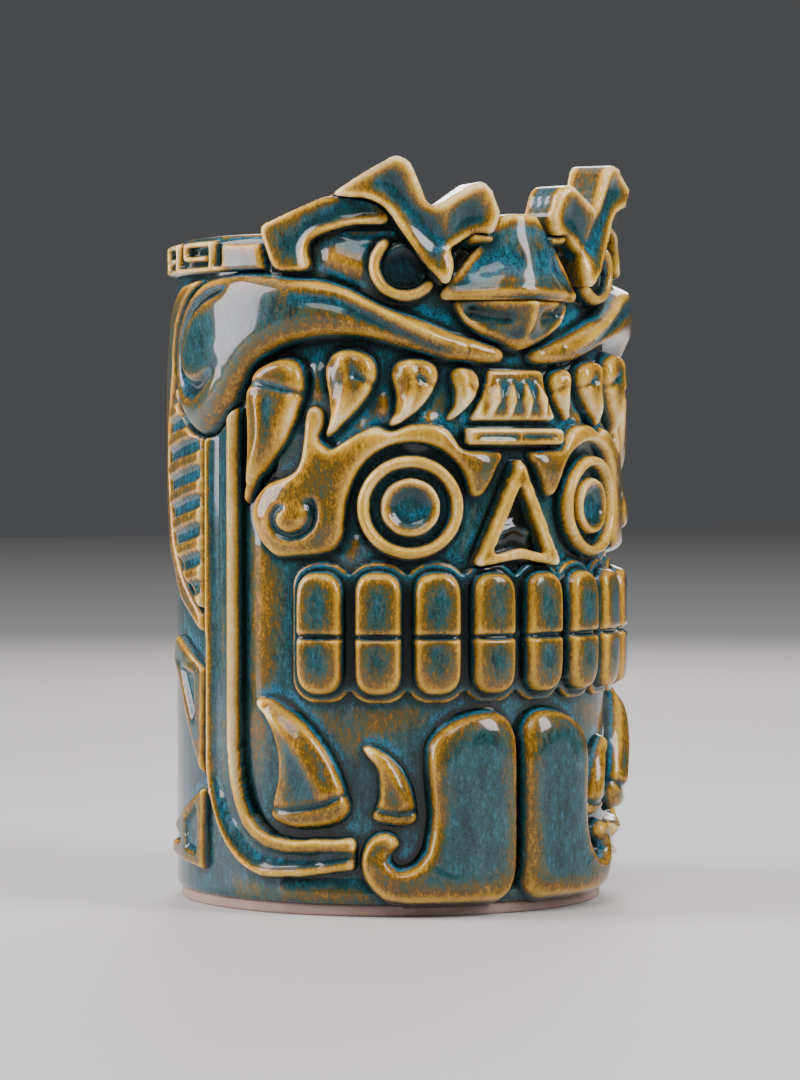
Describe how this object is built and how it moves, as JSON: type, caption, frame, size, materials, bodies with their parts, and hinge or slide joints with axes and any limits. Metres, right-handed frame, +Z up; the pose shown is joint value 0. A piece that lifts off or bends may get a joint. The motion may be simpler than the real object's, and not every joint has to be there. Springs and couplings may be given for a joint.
{
  "type": "tiki mug",
  "caption": "Glazed stoneware tumbler with a relief of a skull looking out of the open jaws of a crested beast, with a flat unglazed foot.",
  "frame": {"origin": "centre of the flat underside of the foot, on the vessel's axis", "axes": "+Z up along the vessel's axis, -Y out of the middle of the face, +X to the right of someone who looks at the face"},
  "size_m": [0.1018, 0.1058, 0.1584],
  "materials": {
    "teal_glaze": "glossy reactive glaze: teal blue where it pools, amber and cream where it breaks over edges",
    "amber_glaze": "glossy reactive glaze, mostly broken to amber and cream",
    "bare_clay": "unglazed, matt, fine grained"
  },
  "bodies": {
    "root": {"vessel": "teal_glaze", "foot_disc": "bare_clay", "jaw_band_left": "teal_glaze", "jaw_band_right": "teal_glaze", "tongue_left": "teal_glaze", "tongue_right": "teal_glaze", "lower_fang_outer_left": "teal_glaze", "lower_fang_outer_right": "teal_glaze", "lower_fang_inner_left": "teal_glaze", "lower_fang_inner_right": "teal_glaze", "gum_plate": "amber_glaze", "tooth_pair_1_left": "teal_glaze", "tooth_pair_1_right": "teal_glaze", "tooth_pair_2_left": "teal_glaze", "tooth_pair_2_right": "teal_glaze", "tooth_pair_3_left": "teal_glaze", "tooth_pair_3_right": "teal_glaze", "tooth_pair_4_left": "teal_glaze", "tooth_pair_4_right": "teal_glaze", "eye_ring_left": "amber_glaze", "eye_ring_right": "amber_glaze", "eye_iris_left": "amber_glaze", "eye_iris_right": "amber_glaze", "brow_arch_left": "amber_glaze", "brow_arch_right": "amber_glaze", "nose_frame": "amber_glaze", "upper_fang_1_left": "teal_glaze", "upper_fang_1_right": "teal_glaze", "upper_fang_2_left": "teal_glaze", "upper_fang_2_right": "teal_glaze", "upper_fang_3_left": "teal_glaze", "upper_fang_3_right": "teal_glaze", "upper_fang_4_left": "teal_glaze", "upper_fang_4_right": "teal_glaze", "incisor_plaque": "amber_glaze", "plaque_bar": "amber_glaze", "lip_left": "teal_glaze", "lip_right": "teal_glaze", "beak_bridge": "teal_glaze", "beak_under": "amber_glaze", "eye_crescent_left": "amber_glaze", "eye_crescent_right": "amber_glaze", "beast_pupil_left": "teal_glaze", "beast_pupil_right": "teal_glaze", "brow_lid_left": "teal_glaze", "brow_lid_right": "teal_glaze", "brow_ridge_left": "teal_glaze", "brow_ridge_right": "teal_glaze", "feather_fan_left": "amber_glaze", "feather_fan_right": "amber_glaze", "fan_rim_left": "amber_glaze", "fan_rim_right": "amber_glaze", "zigzag_panel_left": "teal_glaze", "zigzag_panel_right": "teal_glaze", "corner_panel_left": "teal_glaze", "corner_panel_right": "teal_glaze", "rim_frieze_left": "amber_glaze", "rim_frieze_right": "amber_glaze", "back_spine": "teal_glaze"}
  },
  "joints": []
}
